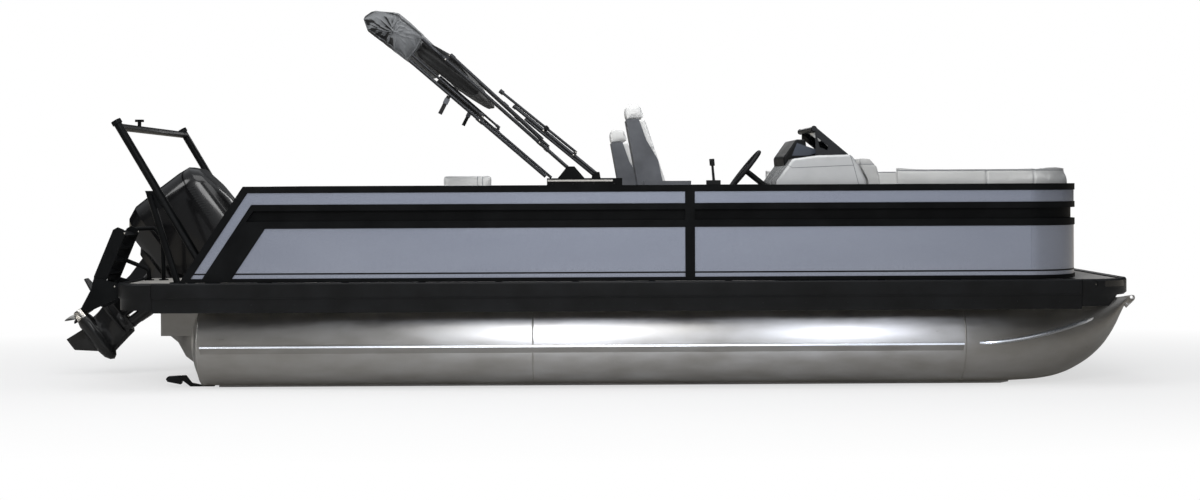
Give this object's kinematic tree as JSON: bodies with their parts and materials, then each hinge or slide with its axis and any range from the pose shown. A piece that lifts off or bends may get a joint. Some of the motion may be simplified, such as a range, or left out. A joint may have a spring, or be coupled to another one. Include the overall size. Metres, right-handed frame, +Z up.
{
  "type": "pontoon boat",
  "caption": "Pontoon boat with railed deck, lounges, helm, swivel chairs, folded canvas top, tow arch, boarding ladder and a tilted outboard motor.",
  "frame": {"origin": "underside of the centre tube's keel bar, amidships, on the floor", "axes": "+X to the bow, +Y to port, +Z up"},
  "size_m": [8.3044, 2.59, 2.785],
  "materials": {
    "tube_aluminium": "brushed mill finish",
    "frame_black": "satin powder coat",
    "panel_silver": "satin silver-blue paint",
    "trim_black": "moulded black trim",
    "deck_vinyl": "woven vinyl",
    "fibreglass_white": "glossy gel coat",
    "vinyl_white": "sewn marine vinyl",
    "shell_grey": "moulded shell",
    "canvas_black": "woven acrylic canvas",
    "bow_tube": "anodised grey tube",
    "black_tube": "gloss black powder coat",
    "engine_black": "gloss black paint",
    "leg_black": "satin black marine paint",
    "steel_bright": "polished stainless steel",
    "block_iron": "bare casting",
    "acrylic_smoked": "smoked acrylic",
    "wheel_black": "soft grip"
  },
  "bodies": {
    "root": {"pontoon_starboard": "tube_aluminium", "pontoon_port": "tube_aluminium", "pontoon_centre": "tube_aluminium", "crossmembers": "tube_aluminium", "deck": "deck_vinyl", "side_trim_starboard": "trim_black", "side_trim_port": "trim_black", "bow_trim": "trim_black", "stern_trim": "trim_black", "bow_corners": "trim_black", "stern_corners": "trim_black", "motor_pod": "tube_aluminium", "fence_frame_starboard": "frame_black", "fence_panels_starboard": "panel_silver", "fence_frame_port": "frame_black", "fence_panels_port": "panel_silver", "fence_frame_bow": "frame_black", "fence_panels_bow": "panel_silver", "stern_wall": "frame_black", "tow_arch": "black_tube", "grab_rails": "black_tube", "ladder_bracket": "frame_black", "clamp_bracket": "leg_black", "bimini_tracks": "frame_black", "helm_console": "fibreglass_white", "helm_dash": "trim_black", "windscreen": "acrylic_smoked", "steering_column": "trim_black", "throttle": "trim_black", "chair_pedestals": "frame_black", "lounge_bases": "fibreglass_white", "lounge_seats": "vinyl_white", "lounge_backs": "vinyl_white", "transducer": "trim_black"},
    "tilt_bracket": {"swivel_bracket": "leg_black"},
    "motor": {"motor_leg": "leg_black", "lower_cowl": "engine_black", "cowl": "engine_black", "powerhead": "block_iron"},
    "propeller": {"propeller": "steel_bright"},
    "helm_wheel": {"steering_wheel": "wheel_black"},
    "bimini": {"bimini_bows": "bow_tube", "bimini_boot": "canvas_black", "bimini_canvas": "canvas_black"},
    "bimini_strut": {"bimini_strut": "bow_tube"},
    "gate_bow": {"gate_bow": "frame_black"},
    "gate_stern": {"gate_stern": "frame_black"},
    "ladder": {"ladder": "frame_black"},
    "chair_starboard": {"chair_starboard_shell": "shell_grey", "chair_starboard_cushions": "vinyl_white"},
    "chair_port": {"chair_port_shell": "shell_grey", "chair_port_cushions": "vinyl_white"}
  },
  "joints": [
    {"name": "motor_tilt", "type": "hinge", "parent": "root", "child": "tilt_bracket", "pos_m": [-3.44, 0, 0.57], "axis": [0, 1, 0], "range_deg": [-53, 0]},
    {"name": "motor_steer", "type": "hinge", "parent": "tilt_bracket", "child": "motor", "pos_m": [-3.60249, 0, 0.52143], "axis": [0.7986, 0, 0.6018], "range_deg": [-28, 28]},
    {"name": "propeller_spin", "type": "hinge", "parent": "motor", "child": "propeller", "pos_m": [-4.13941, 0, 0.48621], "axis": [0.6018, 0, -0.7986], "continuous": true},
    {"name": "helm_turn", "type": "hinge", "parent": "root", "child": "helm_wheel", "pos_m": [1.131, -0.56, 1.615], "axis": [-0.7771, 0, 0.6293], "range_deg": [-504, 504]},
    {"name": "bimini_raise", "type": "hinge", "parent": "root", "child": "bimini", "pos_m": [-0.202, 0, 1.608], "axis": [0, 1, 0], "range_deg": [0, 50]},
    {"name": "strut_raise", "type": "hinge", "parent": "root", "child": "bimini_strut", "pos_m": [-0.015, 0, 1.583], "axis": [0, 1, 0], "range_deg": [0, 50]},
    {"name": "gate_bow_swing", "type": "hinge", "parent": "root", "child": "gate_bow", "pos_m": [3.55, -0.29, 1.1], "axis": [0, 0, 1], "range_deg": [0, 90]},
    {"name": "gate_stern_swing", "type": "hinge", "parent": "root", "child": "gate_stern", "pos_m": [-2.466, -1.13, 1.1], "axis": [0, 0, 1], "range_deg": [-90, 0]},
    {"name": "ladder_swing", "type": "hinge", "parent": "root", "child": "ladder", "pos_m": [-3.707, -0.85, 0.79], "axis": [0, 1, 0], "range_deg": [-180, 0]},
    {"name": "chair_starboard_swivel", "type": "hinge", "parent": "root", "child": "chair_starboard", "pos_m": [0.52, -0.56, 1.1], "axis": [0, 0, 1], "continuous": true},
    {"name": "chair_port_swivel", "type": "hinge", "parent": "root", "child": "chair_port", "pos_m": [0.425, 0.605, 0.95], "axis": [0, 0, 1], "continuous": true}
  ],
  "couplings": [
    {"joint": "helm_turn", "follows": "motor_steer", "ratio": -18},
    {"joint": "strut_raise", "follows": "bimini_raise", "ratio": 1}
  ]
}
